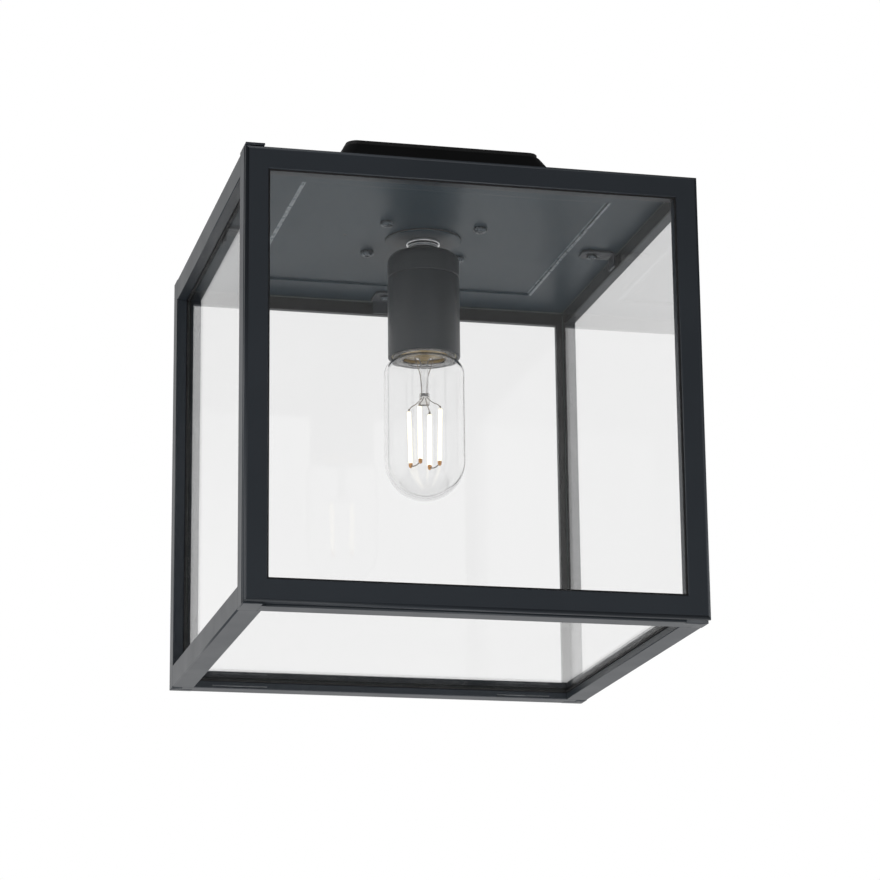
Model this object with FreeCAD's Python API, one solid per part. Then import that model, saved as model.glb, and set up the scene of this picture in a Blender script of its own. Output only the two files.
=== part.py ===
"""Porch ceiling lantern: a glazed square cage hung under a ceiling canopy, with one screw-in lamp.

Millimetres, +Z up. The origin is the centre of the ceiling face of the fixing bracket, so the whole
lantern hangs below z = 0. +X is to the right and the hinged glass door faces -Y.
"""
import FreeCAD, Part
import math
import os

V = FreeCAD.Vector
UP = V(0, 0, 1)

# ---- overall ------------------------------------------------------------------------------------
cage_width = 240.0          # outside, left to right
cage_depth = 240.0          # outside, door face to back face
cage_height = 238.0         # roof edge to underside
canopy_rise = 32.0          # ceiling down to the top of the cage

# ---- cage bars: L sections, two legs on the outside faces ------------------------------------------
bar_face = 12.0             # visible width of every bar
bar_leg = 6.0               # thickness of an upright leg
floor_leg = 4.0             # thickness of the leg that carries the floor pane
bar_edge = 0.8              # rounding of the outside corners

# ---- glazing ------------------------------------------------------------------------------------
glass = 3.0
seal = 1.0                  # black bedding strip between bar and pane
seal_show = 0.8             # how far the strip shows past the bar
pane_play = 0.5             # room at the edges of a pane
pane_lift = 0.3             # room above and below an upright pane
spring_length = 31.0        # bright retaining springs of the floor pane, in the back rail
spring_offset = 82.0        # their centres, left and right of the middle
spring_height = 0.9
spring_depth = 5.0
spring_rise = 1.1           # above the underside

# ---- door ---------------------------------------------------------------------------------------
door_thick = 4.4
door_gap = 0.6              # between the door's back and the cage
door_round = 1.8            # rolled outer edges
door_lip = 1.0              # metal in front of the pane
door_lap = 6.0              # rebate width behind the lip
door_top_play = 0.3
door_bottom_play = 0.2
pivot_plate_x = 10.0
pivot_plate_top = 1.2
pivot_plate_bottom = 0.8
pivot_reach = 0.3           # plate's front edge behind the door face
pivot_r = 1.2
pivot_fit = 0.08            # running clearance of the pin, on the radius
pivot_length = 8.0
catch_r = 2.0               # magnet and its strike disc
magnet_length = 4.0
strike_thick = 1.0
catch_drop = 60.0           # catch centres, from the top and from the bottom of the cage

# ---- roof plate ---------------------------------------------------------------------------------
roof_sheet = 1.5
roof_drop = 3.5             # top of the border below the top of the cage
roof_bend = 2.0             # outside radius where the edge turns up
panel_half = 83.0           # pressed square under the canopy
panel_rise = 1.0
panel_slope = 1.6           # width of the pressed step
roof_screw_pitch = 52.0
roof_screw_r = 2.0
roof_screw_fit = 0.2
roof_screw_length = 10.0
screw_head_r = 3.7
screw_head_h = 2.6

# ---- canopy and ceiling parts ---------------------------------------------------------------------
canopy_top = 108.0          # square where it meets the ceiling
canopy_base = 146.0         # square where it meets its flange
canopy_wall = 1.2
canopy_corner = 6.0         # rounding of its four leaning edges
canopy_lip = 8.0
canopy_flange = 161.0
gasket = 2.0
gasket_inset = 1.0
bracket_side = 80.0
bracket_sheet = 1.5
bracket_corner = 6.0
slot_pitch = 60.0
slot_width = 5.0
slot_length = 12.0
cable_y = 24.0              # supply cable entry, behind the middle
cable_hole_r = 8.0
grommet_bore_r = 4.5
grommet_flange_r = 10.5
grommet_flange = 3.0
standoff_flats = 7.0
standoff_bore_depth = 7.0
terminal_x = 48.0
terminal_size = (16.0, 30.0, 18.0)
terminal_way_pitch = 9.0
earth_x = -44.0

# ---- pane clips -----------------------------------------------------------------------------------
clip_sheet = 1.2
clip_half = 6.5
clip_reach = 12.7           # screw centre to the nose that bears on the pane
clip_leg = 8.0
clip_chamfer = 2.5
clip_fit = 0.3
clip_screw_r = 1.5
clip_screw_fit = 0.1
clip_head_r = 2.8
clip_head_h = 1.8

# ---- lampholder, on the middle axis ---------------------------------------------------------------
disc_r = 21.0
disc_thick = 1.2
nipple_r = 5.0
nipple_bore_r = 3.6
nipple_above = 5.5          # above the roof
nipple_into_cap = 6.0
nut_flats = 14.0
nut_height = 4.0
ring_r = 9.5
ring_height = 4.0
holder_r = 19.75
holder_wall = 1.8
holder_neck_r = 7.5
holder_neck = 3.3
holder_shoulder = 5.5
holder_length = 59.5        # top face to rim
cap_length = 14.0
cap_spigot = 3.0
part_fit = 0.25
insert_top = 18.0           # below the holder's top face
insert_floor = 12.0
insert_rim = 1.2            # above the rim
shell_r = 14.3
shell_wall = 0.8
shell_lip_r = 17.0
shell_lip = 0.8
contact_r = 4.0
contact_thick = 0.8
wire_r = 0.9
wire_pitch = 4.4
wire_bend = 6.0

# ---- lamp -----------------------------------------------------------------------------------------
lamp_cap_r = 13.1
lamp_cap_wall = 0.5
lamp_cap_length = 22.5
lamp_tip_gap = 0.3
lamp_tip_r = 4.6
lamp_tip = 1.6
lamp_insulator = 3.4
lamp_insulator_r = 10.5
bulb_r = 22.0
bulb_wall = 0.9
bulb_length = 80.0          # rim of the holder to the bottom of the glass
bulb_drop = 0.5             # holder's rim to the shoulder of the glass
bulb_neck_r = 12.3
glass_sides = 36            # flats round the blown glass
stem_r = 2.8
stem_length = 27.0
filament_width = 2.0
filament_length = 30.0
filament_top = 29.5         # below the rim
filament_ring_top = 8.6
filament_ring_bottom = 7.8
filament_turn = -16.0       # first filament, from +X
support_width = 0.6

# ---- worked out from the sizes above ----------------------------------------------------------------
x_out = cage_width / 2
y_door = -cage_depth / 2
y_front = y_door + door_thick + door_gap
y_back = cage_depth / 2
z_top = -canopy_rise
z_bot = z_top - cage_height
x_in = x_out - bar_leg                      # inside faces of the upright legs
y_front_in = y_front + bar_leg
y_back_in = y_back - bar_leg
z_border = z_top - roof_drop - roof_sheet   # underside of the roof's border
z_panel = z_border + panel_rise             # underside of the pressed square
z_deck = z_panel + roof_sheet               # top of the pressed square
z_floor = z_bot + floor_leg                 # top of the ledge under the floor pane
z_floor_glass = z_floor + seal
pane_top = z_border - pane_lift
pane_bottom = z_floor_glass + glass + pane_lift
door_top = z_top - door_top_play
door_bottom = z_bot + pivot_plate_bottom + door_bottom_play
pivot_x = -x_out + door_thick / 2
pivot_y = y_door + door_thick / 2
clip_from_pane = clip_reach + clip_fit
z_holder = z_panel - disc_thick - ring_height - holder_neck   # top face of the holder's body
z_rim = z_holder - holder_length
z_contact = z_holder - insert_top - insert_floor
z_lamp_tip = z_contact - contact_thick - lamp_tip_gap


# ---- helpers --------------------------------------------------------------------------------------
def block(x, y, z):
    """Box between the paired limits."""
    return Part.makeBox(x[1] - x[0], y[1] - y[0], z[1] - z[0], V(x[0], y[0], z[0]))


def rod(r, x, y, z):
    """Upright cylinder between two heights."""
    return Part.makeCylinder(r, z[1] - z[0], V(x, y, z[0]), UP)


def tube(r_out, r_in, x, y, z):
    return rod(r_out, x, y, z).cut(rod(r_in, x, y, z))


def hexagon(flats, x, y, z):
    return Part.Face(hexagon_wire(flats / math.sqrt(3), V(x, y, z[0]))).extrude(V(0, 0, z[1] - z[0]))


def hexagon_wire(radius, centre):
    turns = [math.radians(60 * i) for i in range(7)]
    return Part.makePolygon([centre + V(radius * math.cos(a), radius * math.sin(a), 0) for a in turns])


def turned(profile, x=0.0, y=0.0):
    """Solid of revolution about an upright axis from (radius, height) points."""
    ring = [V(x + r, y, z) for r, z in profile]
    return Part.Face(Part.makePolygon(ring + ring[:1])).revolve(V(x, y, 0), UP, 360)


def bend(centre_r, centre_z, radius, start, end, steps):
    """Points of a bend in a turned profile, in short even chords; angles in degrees."""
    turns = [math.radians(start + (end - start) * i / steps) for i in range(steps + 1)]
    return [(centre_r + radius * math.cos(a), centre_z + radius * math.sin(a)) for a in turns]


def facetted(profile, sides, turn=0.0):
    """Body on the middle axis with flat sides, from a closed (radius, height) profile."""
    profile = [(0.0 if abs(r) < 1e-6 else r, z) for r, z in profile]
    spokes = [math.radians(turn + 360.0 * i / sides) for i in range(sides + 1)]
    faces = []
    for (r0, z0), (r1, z1) in zip(profile, profile[1:] + profile[:1]):
        for a, b in zip(spokes, spokes[1:]):
            ring = [V(r0 * math.cos(a), r0 * math.sin(a), z0), V(r1 * math.cos(a), r1 * math.sin(a), z1)]
            if r1 > 0:
                ring.append(V(r1 * math.cos(b), r1 * math.sin(b), z1))
            if r0 > 0:
                ring.append(V(r0 * math.cos(b), r0 * math.sin(b), z0))
            if len(ring) > 2:
                faces.append(Part.Face(Part.makePolygon(ring + ring[:1])))
    body = Part.Solid(Part.Shell(faces))
    return body if body.Volume > 0 else body.reversed()


def frustum(half_low, half_high, z):
    """Square block whose four sides lean, between two heights."""
    low, high = half_low * math.sqrt(2), half_high * math.sqrt(2)
    return facetted([(0, z[0]), (low, z[0]), (high, z[1]), (0, z[1])], 4, 45).removeSplitter()


def strut(start, end, width):
    """Thin square bar from point to point."""
    bar = Part.makeBox(width, width, (end - start).Length, V(-width / 2, -width / 2, 0))
    bar.Placement = FreeCAD.Placement(start, FreeCAD.Rotation(UP, end - start))
    return bar


def rounded_square(half, corner, z):
    """Closed wire of a square with rounded corners."""
    edges = []
    inner = half - corner
    for i in range(4):
        a = math.radians(90 * i)
        along, across = V(-math.sin(a), math.cos(a), 0), V(math.cos(a), math.sin(a), 0)
        lift = V(0, 0, z)
        start, end = across * half - along * inner + lift, across * half + along * inner + lift
        edges.append(Part.LineSegment(start, end).toShape())
        middle = (across + along) * (inner + corner * math.sqrt(0.5)) + lift
        edges.append(Part.Arc(end, middle, across * inner + along * half + lift).toShape())
    return Part.Wire(edges)


def plate(half, corner, z):
    """Flat rounded square between two heights."""
    return Part.Face(rounded_square(half, corner, z[0])).extrude(V(0, 0, z[1] - z[0]))


def rounded(shape, radius, wanted):
    """Fillet the edges whose middle point the test accepts."""
    edges = [e for e in shape.Edges if wanted(e.CenterOfMass, e)]
    return shape.makeFillet(radius, edges) if edges else shape


def near(a, b):
    return abs(a - b) < 1e-4


def mirrored(shape):
    """Left-hand piece made right-hand."""
    return shape.mirror(V(0, 0, 0), V(1, 0, 0))


# ---- cage -----------------------------------------------------------------------------------------
def front_left_post():
    """L section with its notch inwards; its foot is cut for the lower pivot plate."""
    post = block((-x_out, -x_out + bar_face), (y_front, y_front + bar_face), (z_bot, z_top))
    notch = block((-x_in, -x_out + bar_face), (y_front_in, y_front + bar_face), (z_bot, z_top))
    return rounded(post.cut(notch), bar_edge, lambda c, e: near(c.x, -x_out) and near(c.y, y_front))


def back_left_post():
    post = block((-x_out, -x_out + bar_face), (y_back - bar_face, y_back), (z_bot, z_top))
    notch = block((-x_in, -x_out + bar_face), (y_back - bar_face, y_back_in), (z_bot, z_top))
    return rounded(post.cut(notch), bar_edge, lambda c, e: near(c.x, -x_out) and near(c.y, y_back))


def catch_places():
    return [z_top - catch_drop, z_bot + catch_drop]


def posts():
    front_right = mirrored(front_left_post())
    for z in catch_places():
        front_right = front_right.cut(catch_cylinder(y_front, y_front + magnet_length, z))
    return {
        "post_front_left": front_left_post().cut(lower_pivot_plate()),
        "post_front_right": front_right,
        "post_back_left": back_left_post(),
        "post_back_right": mirrored(back_left_post()),
    }


def top_rails():
    z = (z_top - bar_face, z_top)
    x = (-x_out + bar_face, x_out - bar_face)
    front = block(x, (y_front, y_front_in), z)
    back = block(x, (y_back_in, y_back), z)
    left = block((-x_out, -x_in), (y_front + bar_face, y_back - bar_face), z)
    outer = {"front": lambda c, e: near(c.y, y_front) and near(c.z, z_top),
             "back": lambda c, e: near(c.y, y_back) and near(c.z, z_top),
             "left": lambda c, e: near(c.x, -x_out) and near(c.z, z_top)}
    left = rounded(left, bar_edge, outer["left"])
    return {
        "top_rail_front": rounded(front, bar_edge, outer["front"]),
        "top_rail_back": rounded(back, bar_edge, outer["back"]),
        "top_rail_left": left,
        "top_rail_right": mirrored(left),
    }


def bottom_rails():
    """Upright leg outside, flat leg inside as the ledge of the floor pane."""
    tall, flat = (z_bot, z_bot + bar_face), (z_bot, z_floor)
    x_post, x_ledge = x_out - bar_face, x_in
    y_side = (y_front + bar_face, y_back - bar_face)
    front = block((-x_post, x_post), (y_front, y_front_in), tall)
    front = front.fuse(block((-x_ledge, x_ledge), (y_front_in, y_front + bar_face), flat)).removeSplitter()
    front = rounded(front, bar_edge, lambda c, e: near(c.y, y_front) and near(c.z, z_bot))
    back = block((-x_post, x_post), (y_back_in, y_back), tall)
    back = back.fuse(block((-x_ledge, x_ledge), (y_back - bar_face, y_back_in), flat)).removeSplitter()
    back = rounded(back, bar_edge, lambda c, e: near(c.y, y_back) and near(c.z, z_bot))
    left = block((-x_out, -x_in), y_side, tall).fuse(block((-x_in, -x_post), y_side, flat))
    left = rounded(left.removeSplitter(), bar_edge, lambda c, e: near(c.x, -x_out) and near(c.z, z_bot))
    return {
        "bottom_rail_front": front.cut(lower_pivot_plate()),
        "bottom_rail_back": back.cut(floor_springs()),
        "bottom_rail_left": left,
        "bottom_rail_right": mirrored(left),
    }


def roof_plate():
    """Pressed sheet: turned-up edge, flat border, raised square under the canopy."""
    x, y = (-x_in, x_in), (y_front_in, y_back_in)
    tray = block(x, y, (z_border, z_top))
    tray = rounded(tray, roof_bend, lambda c, e: near(c.z, z_border))
    room = block((x[0] + roof_sheet, x[1] - roof_sheet), (y[0] + roof_sheet, y[1] - roof_sheet),
                 (z_border + roof_sheet, z_top))
    tray = tray.cut(room)
    low, high = panel_half, panel_half - panel_slope
    inset = roof_sheet / 2
    pressing = frustum(low, high, (z_border + roof_sheet, z_deck))
    hollow = frustum(low - inset, high - inset, (z_border, z_panel))
    tray = tray.fuse(pressing).cut(hollow).removeSplitter()
    holes = [rod(roof_screw_r + roof_screw_fit, cx, cy, (z_border, z_top)) for cx, cy in roof_screw_places()]
    holes.append(rod(nipple_r, 0, 0, (z_border, z_top)))
    holes += [rod(clip_screw_r, cx, cy, (z_border, z_top)) for cx, cy, turn in clip_places()]
    holes.append(rod(clip_screw_r, earth_x, 0, (z_border, z_top)))
    for hole in holes:
        tray = tray.cut(hole)
    return tray


def roof_screw_places():
    half = roof_screw_pitch / 2
    return [(sx * half, sy * half) for sx in (-1, 1) for sy in (-1, 1)]


# ---- glazing --------------------------------------------------------------------------------------
def side_glazing():
    """Pane and bedding strip of the left side; the right side mirrors them."""
    y = (y_front_in + pane_play, y_back_in - seal - glass - pane_play)
    z = (pane_bottom, pane_top)
    outer = -x_in
    pane = block((outer + seal, outer + seal + glass), y, z)
    strip = block((outer, outer + seal), y, z)
    sight_y = (y_front + bar_face + seal_show, y_back - bar_face - seal_show)
    sight_z = (z_bot + bar_face + seal_show, z_top - bar_face - seal_show)
    return pane, strip.cut(block((outer, outer + seal), sight_y, sight_z))


def back_glazing():
    half = x_in - pane_play
    z = (pane_bottom, pane_top)
    pane = block((-half, half), (y_back_in - seal - glass, y_back_in - seal), z)
    strip = block((-half, half), (y_back_in - seal, y_back_in), z)
    sight = x_out - bar_face - seal_show
    opening = block((-sight, sight), (y_back_in - seal, y_back_in),
                    (z_bot + bar_face + seal_show, z_top - bar_face - seal_show))
    return pane, strip.cut(opening)


def floor_glazing():
    x = (-x_in + pane_play, x_in - pane_play)
    y = (y_front_in + pane_play, y_back_in - pane_play)
    pane = block(x, y, (z_floor_glass, z_floor_glass + glass))
    strip = block(x, y, (z_floor, z_floor_glass))
    sight = x_out - bar_face - seal_show
    opening = block((-sight, sight), (y_front + bar_face + seal_show, y_back - bar_face - seal_show),
                    (z_floor, z_floor_glass))
    return pane, strip.cut(opening)


def floor_springs():
    """Bright spring strips let into the edge of the back ledge."""
    y = y_back - bar_face
    z = (z_bot + spring_rise, z_bot + spring_rise + spring_height)
    half = spring_length / 2
    strips = [block((s * spring_offset - half, s * spring_offset + half), (y, y + spring_depth), z)
              for s in (-1, 1)]
    return Part.makeCompound(strips)


def glazing():
    left_pane, left_seal = side_glazing()
    back_pane, back_seal = back_glazing()
    floor_pane, floor_seal = floor_glazing()
    return {
        "pane_left": left_pane, "pane_right": mirrored(left_pane),
        "pane_back": back_pane, "pane_floor": floor_pane,
        "seal_left": left_seal, "seal_right": mirrored(left_seal),
        "seal_back": back_seal, "seal_floor": floor_seal,
        "floor_springs": floor_springs(),
    }


# ---- door -----------------------------------------------------------------------------------------
def catch_cylinder(y0, y1, z):
    x = x_out - (bar_leg + door_round) / 2
    return Part.makeCylinder(catch_r, y1 - y0, V(x, y0, z), V(0, 1, 0))


def door_frame():
    """Rolled-edge frame with a rebate behind, before it is mitred into four bars."""
    y = (y_door, y_door + door_thick)
    z = (door_bottom, door_top)
    frame = block((-x_out, x_out), y, z)
    long_outer = lambda c, e: (near(abs(c.x), x_out) or near(c.z, z[0]) or near(c.z, z[1])) \
        and (near(c.y, y[0]) or near(c.y, y[1]))
    frame = rounded(frame, door_round, long_outer)
    clear_x, clear_z = x_out - bar_face, (z[0] + bar_face, z[1] - bar_face)
    frame = frame.cut(block((-clear_x, clear_x), y, clear_z))
    rebate = block((-clear_x - door_lap, clear_x + door_lap), (y[0] + door_lip, y[1]),
                   (clear_z[0] - door_lap, clear_z[1] + door_lap))
    return frame.cut(rebate)


def mitre_wedge(corners):
    """Prism through the door's thickness over a trapezoid of (x, z) corners."""
    ring = [V(x, y_door, z) for x, z in corners + corners[:1]]
    return Part.Face(Part.makePolygon(ring)).extrude(V(0, door_thick, 0))


def upper_pivot_pin():
    return rod(pivot_r, pivot_x, pivot_y, (door_top - pivot_length, z_top))


def lower_pivot_pin():
    return rod(pivot_r, pivot_x, pivot_y, (z_bot + pivot_plate_bottom, door_bottom + pivot_length))


def pivot_plate(z):
    return block((-x_out, -x_out + pivot_plate_x), (y_door + pivot_reach, y_front + bar_face), z)


def lower_pivot_plate():
    return pivot_plate((z_bot, z_bot + pivot_plate_bottom))


def pivots():
    """Plates on the cage's corner with a riveted pin each, above and below the door."""
    upper = pivot_plate((z_top, z_top + pivot_plate_top)).fuse(upper_pivot_pin())
    lower = lower_pivot_plate().fuse(lower_pivot_pin())
    return {"pivot_plate_top": upper.removeSplitter(), "pivot_plate_bottom": lower.removeSplitter()}


def door():
    frame = door_frame()
    xo, zo = x_out, (door_bottom, door_top)
    xi, zi = x_out - bar_face, (door_bottom + bar_face, door_top - bar_face)
    left = frame.common(mitre_wedge([(-xo, zo[0]), (-xi, zi[0]), (-xi, zi[1]), (-xo, zo[1])]))
    right = frame.common(mitre_wedge([(xo, zo[0]), (xo, zo[1]), (xi, zi[1]), (xi, zi[0])]))
    top = frame.common(mitre_wedge([(-xo, zo[1]), (-xi, zi[1]), (xi, zi[1]), (xo, zo[1])]))
    bottom = frame.common(mitre_wedge([(-xo, zo[0]), (xo, zo[0]), (xi, zi[0]), (-xi, zi[0])]))
    bore_r = pivot_r + pivot_fit
    upper_bore = rod(bore_r, pivot_x, pivot_y, (door_top - pivot_length - 1, z_top))
    lower_bore = rod(bore_r, pivot_x, pivot_y, (z_bot, door_bottom + pivot_length + 1))
    strikes = [catch_cylinder(y_door + door_thick - strike_thick, y_door + door_thick, z)
               for z in catch_places()]
    for disc in strikes:
        right = right.cut(disc)
    half = xi + door_lap - pane_play
    pane_z = (zi[0] - door_lap + pane_play, zi[1] + door_lap - pane_play)
    back = y_door + door_thick
    strip = block((-half, half), (y_door + door_lip, back - glass), pane_z)
    sight = xi - seal_show
    opening = block((-sight, sight), (y_door + door_lip, back - glass),
                    (zi[0] + seal_show, zi[1] - seal_show))
    return {
        "door_stile_left": left.cut(upper_bore).cut(lower_bore),
        "door_stile_right": right,
        "door_rail_top": top.cut(upper_bore),
        "door_rail_bottom": bottom.cut(lower_bore),
        "door_pane": block((-half, half), (back - glass, back), pane_z),
        "door_seal": strip.cut(opening),
        "door_strikes": Part.makeCompound(strikes),
    }


def door_magnets():
    return Part.makeCompound([catch_cylinder(y_front, y_front + magnet_length, z) for z in catch_places()])


# ---- pane clips -------------------------------------------------------------------------------------
def clip_places():
    """Screw centre and the turn that points the nose at its pane."""
    x = x_in - seal - glass - clip_from_pane
    y = y_back_in - seal - glass - clip_from_pane
    return [(-x, 0, 180), (x, 0, 0), (0, y, 90)]


def clip(cx, cy, turn):
    """Bent turn clip: plate under the roof with clipped corners, and a leg down at its nose.

    The nose stays inside the circle of clip_reach, so it clears the pane however the clip is turned.
    """
    top = z_border - clip_fit
    nose = math.sqrt(clip_reach ** 2 - (clip_half - clip_chamfer) ** 2)
    flat = clip_half - clip_chamfer
    outline = [(-flat, -clip_half), (nose - clip_chamfer, -clip_half), (nose, -flat), (nose, flat),
               (nose - clip_chamfer, clip_half), (-flat, clip_half), (-clip_half, flat), (-clip_half, -flat)]
    ring = [V(x, y, top - clip_leg) for x, y in outline]
    body = Part.Face(Part.makePolygon(ring + ring[:1])).extrude(V(0, 0, clip_leg))
    body = body.cut(block((-clip_half, nose - clip_sheet), (-clip_half, clip_half),
                          (top - clip_leg, top - clip_sheet)))
    body = body.cut(rod(clip_screw_r + clip_screw_fit, 0, 0, (top - clip_sheet, top)))
    body.rotate(V(0, 0, 0), UP, turn)
    body.translate(V(cx, cy, 0))
    return body


def clip_screw(cx, cy):
    under = z_border - 2 * clip_fit - clip_sheet
    shank = rod(clip_screw_r, cx, cy, (under, z_top - roof_drop))
    head = rod(clip_head_r, cx, cy, (under - clip_head_h, under))
    return shank.fuse(head).removeSplitter()


def clips():
    names = ("left", "right", "back")
    made = {"clip_" + n: clip(*place) for n, place in zip(names, clip_places())}
    made["clip_screws"] = Part.makeCompound([clip_screw(cx, cy) for cx, cy, turn in clip_places()])
    return made


# ---- canopy and ceiling parts -----------------------------------------------------------------------
def canopy():
    """Drawn square hood with a lip at the ceiling and a flange on the roof."""
    top, base, wall = canopy_top / 2, canopy_base / 2, canopy_wall
    z = (z_deck, -gasket)
    leaning = lambda c, e: e.BoundBox.ZLength > 1 and e.BoundBox.XLength > 1
    outer = rounded(frustum(base, top, z), canopy_corner, leaning)
    room = rounded(frustum(base - wall, top - wall, (z[0], z[1] - wall)), canopy_corner - wall, leaning)
    flange = plate(canopy_flange / 2, canopy_corner, (z[0], z[0] + wall))
    hood = outer.fuse(flange).cut(room)
    return hood.cut(plate(top - canopy_lip, canopy_corner, (z[1] - 2 * wall, z[1]))).removeSplitter()


def ceiling_gasket():
    half = canopy_top / 2 - gasket_inset
    ring = plate(half, canopy_corner, (-gasket, 0))
    return ring.cut(plate(canopy_top / 2 - canopy_lip, canopy_corner, (-gasket, 0)))


def ceiling_bracket():
    z = (-bracket_sheet, 0)
    sheet = plate(bracket_side / 2, bracket_corner, z)
    for s in (-1, 1):
        cx, half = s * slot_pitch / 2, (slot_length - slot_width) / 2
        slot = block((cx - half, cx + half), (-slot_width / 2, slot_width / 2), z)
        for end in (cx - half, cx + half):
            slot = slot.fuse(rod(slot_width / 2, end, 0, z))
        sheet = sheet.cut(slot)
    return sheet.cut(rod(cable_hole_r, 0, cable_y, z))


def cable_grommet():
    z_low = -bracket_sheet - grommet_flange
    body = rod(cable_hole_r, 0, cable_y, (-bracket_sheet, 0))
    body = body.fuse(rod(grommet_flange_r, 0, cable_y, (z_low, -bracket_sheet)))
    return body.cut(rod(grommet_bore_r, 0, cable_y, (z_low, 0))).removeSplitter()


def standoffs():
    pieces = []
    for cx, cy in roof_screw_places():
        post = hexagon(standoff_flats, cx, cy, (z_deck, -bracket_sheet))
        pieces.append(post.cut(rod(roof_screw_r, cx, cy, (z_deck, z_deck + standoff_bore_depth))))
    return Part.makeCompound(pieces)


def roof_screws():
    tip = z_panel + roof_screw_length - screw_head_h
    profile = [(0, z_panel - screw_head_h), (screw_head_r, z_panel - screw_head_h), (screw_head_r, z_panel),
               (roof_screw_r, z_panel), (roof_screw_r, tip), (0, tip)]
    return Part.makeCompound([turned(profile, cx, cy) for cx, cy in roof_screw_places()])


def terminal_block():
    dx, dy, dz = terminal_size
    x = (terminal_x - dx / 2, terminal_x + dx / 2)
    z = (z_deck, z_deck + dz)
    body = block(x, (-dy / 2, dy / 2), z)
    way, level = terminal_way_pitch / 4, wire_level()
    for i in (-1, 0, 1):
        y = (i * terminal_way_pitch - way, i * terminal_way_pitch + way)
        body = body.cut(block(x, y, (level - way, level + way)))
        body = body.cut(block((terminal_x - way, terminal_x + way), y, (level, z[1])))
    return body


def earth_screw():
    shank = rod(clip_screw_r, earth_x, 0, (z_panel, z_deck))
    return shank.fuse(rod(clip_head_r, earth_x, 0, (z_deck, z_deck + screw_head_h))).removeSplitter()


def ceiling_parts():
    return {
        "ceiling_gasket": ceiling_gasket(),
        "ceiling_bracket": ceiling_bracket(),
        "cable_grommet": cable_grommet(),
        "bracket_standoffs": standoffs(),
        "canopy": canopy(),
        "roof_plate": roof_plate(),
        "roof_screws": roof_screws(),
        "terminal_block": terminal_block(),
        "earth_screw": earth_screw(),
    }


# ---- lampholder -------------------------------------------------------------------------------------
def wire_level():
    return z_deck + nipple_above + wire_bend


def holder_cap():
    """Turned dome with a neck that screws on the nipple and a spigot for the sleeve."""
    top, low = z_holder, z_holder - cap_length
    neck = z_holder + holder_neck
    r, w, turn = holder_r, holder_wall, holder_shoulder
    outside = bend(r - turn, top - turn, turn, 90, 0, 3)
    spigot_r, foot = r - w - part_fit, neck - nipple_into_cap
    return turned([(nipple_r, neck), (holder_neck_r, neck), (holder_neck_r, top)] + outside + [
        (r, low), (spigot_r, low), (spigot_r, low - cap_spigot), (spigot_r - w, low - cap_spigot),
        (spigot_r - w, top - w), (nipple_r + w, top - w), (nipple_r + w, foot), (nipple_r, foot)])


def holder_sleeve():
    low, top = z_rim, z_holder - cap_length
    return turned([(holder_r - holder_wall, low), (holder_r, low), (holder_r, top),
                   (holder_r - holder_wall, top)])


def holder_insert():
    """Moulded body that carries the threaded shell and the contacts."""
    r = holder_r - holder_wall - part_fit
    top, floor, low = z_holder - insert_top, z_contact, z_rim + insert_rim
    return turned([(contact_r / 2, top), (r, top), (r, low), (shell_r, low), (shell_r, floor),
                   (contact_r / 2, floor)])


def thread_shell():
    low, top = z_rim + insert_rim, z_contact - contact_thick
    inner = shell_r - shell_wall
    return turned([(inner, top), (shell_r, top), (shell_r, low), (shell_lip_r, low),
                   (shell_lip_r, low - shell_lip), (inner, low - shell_lip)])


def holder_contacts():
    """Sprung centre contact on its stalk, and the side contact that reaches the shell."""
    stalk = rod(contact_r / 2, 0, 0, (z_contact, z_holder - insert_top))
    centre = rod(contact_r, 0, 0, (z_contact - contact_thick, z_contact)).fuse(stalk).removeSplitter()
    side = block((contact_r + 2, shell_r - shell_wall / 2), (-contact_r / 2, contact_r / 2),
                 (z_contact - contact_thick, z_contact))
    return Part.makeCompound([centre, side])


def lead_wires():
    """Two short leads: up the nipple, round one bend, into the terminal block."""
    wires = []
    start_z = z_holder - insert_top
    for s in (-1, 1):
        y = s * wire_pitch / 2
        level = wire_level()
        end_x = terminal_x - terminal_size[0] / 2
        corner = V(wire_bend * (1 - math.sqrt(0.5)), y, level - wire_bend * (1 - math.sqrt(0.5)))
        path = Part.makePolygon([V(0, y, start_z), V(0, y, level - wire_bend), corner,
                                 V(wire_bend, y, level), V(end_x, y, level)])
        section = hexagon_wire(wire_r, V(0, y, start_z))
        wires.append(path.makePipeShell([section], True, False, 1))
    return Part.makeCompound(wires)


def lampholder():
    disc_z = (z_panel - disc_thick, z_panel)
    ring_z = (disc_z[0] - ring_height, disc_z[0])
    nipple_z = (z_holder + holder_neck - nipple_into_cap, z_deck + nipple_above)
    nut_z = (z_deck, z_deck + nut_height)
    return {
        "holder_disc": tube(disc_r, nipple_r, 0, 0, disc_z),
        "ring_nut": tube(ring_r, nipple_r, 0, 0, ring_z),
        "nipple_nut": hexagon(nut_flats, 0, 0, nut_z).cut(rod(nipple_r, 0, 0, nut_z)),
        "holder_nipple": tube(nipple_r, nipple_bore_r, 0, 0, nipple_z),
        "holder_cap": holder_cap(),
        "holder_sleeve": holder_sleeve(),
        "holder_insert": holder_insert(),
        "thread_shell": thread_shell(),
        "holder_contacts": holder_contacts(),
        "lead_wires": lead_wires(),
    }


# ---- lamp -------------------------------------------------------------------------------------------
def bulb_glass():
    """Blown tube with a round end and a drawn-in neck, open at the neck where the stem seals it."""
    r, w, neck = bulb_r, bulb_wall, bulb_neck_r
    shoulder = r - neck
    full = z_rim - bulb_drop - shoulder
    centre = z_rim - bulb_length + r
    outer = [(neck, stem_top())] + bend(neck, full, shoulder, 90, 0, 4) + bend(0, centre, r, 0, -90, 6)
    inner = bend(0, centre, r - w, -90, 0, 4) + bend(neck, full, shoulder - w, 0, 90, 2)
    return facetted(outer + inner + [(neck - w, full + shoulder), (neck - w, stem_top())], glass_sides)


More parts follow.
